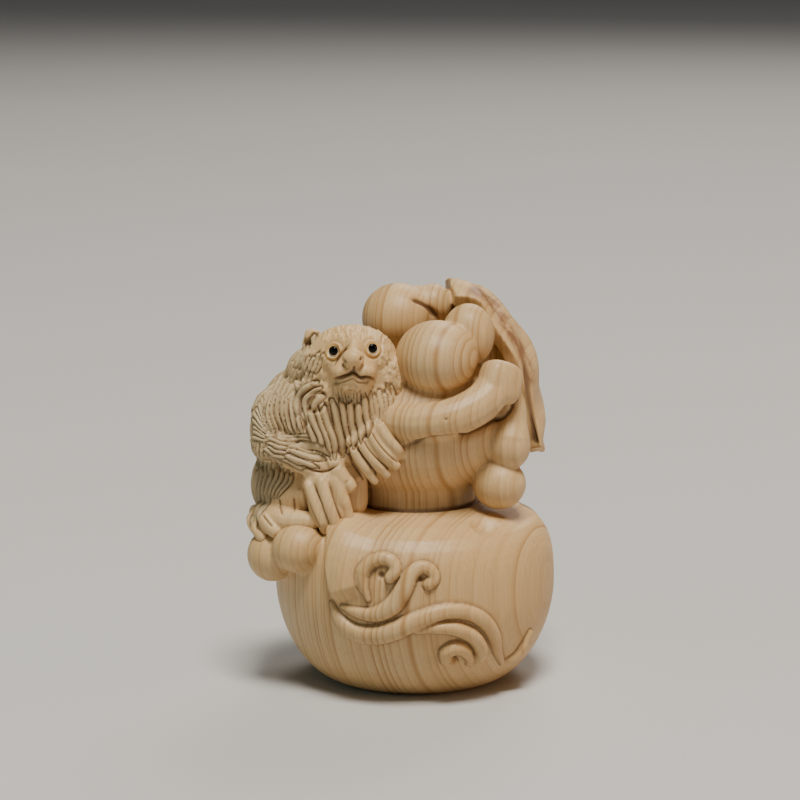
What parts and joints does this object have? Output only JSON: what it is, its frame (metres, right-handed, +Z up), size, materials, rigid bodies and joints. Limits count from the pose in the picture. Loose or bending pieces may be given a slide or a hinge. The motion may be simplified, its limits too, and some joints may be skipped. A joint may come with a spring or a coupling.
{
  "type": "boxwood monkey and gourd carving",
  "caption": "Hand-sized boxwood carving of a long-haired monkey clinging to a double gourd with fruit, vine, leaf and scrolls.",
  "frame": {"origin": "centre of the gourd's flat foot, on the surface it stands on", "axes": "+Z up, -Y towards the side that the monkey's face looks out of, +X away from the monkey"},
  "size_m": [0.0533, 0.0499, 0.0694],
  "materials": {
    "boxwood": "satin, hand polished, with fine tan growth rings",
    "bead": "glossy black"
  },
  "bodies": {
    "root": {"carving": "boxwood", "left_eye_bead": "bead", "right_eye_bead": "bead"}
  },
  "joints": []
}
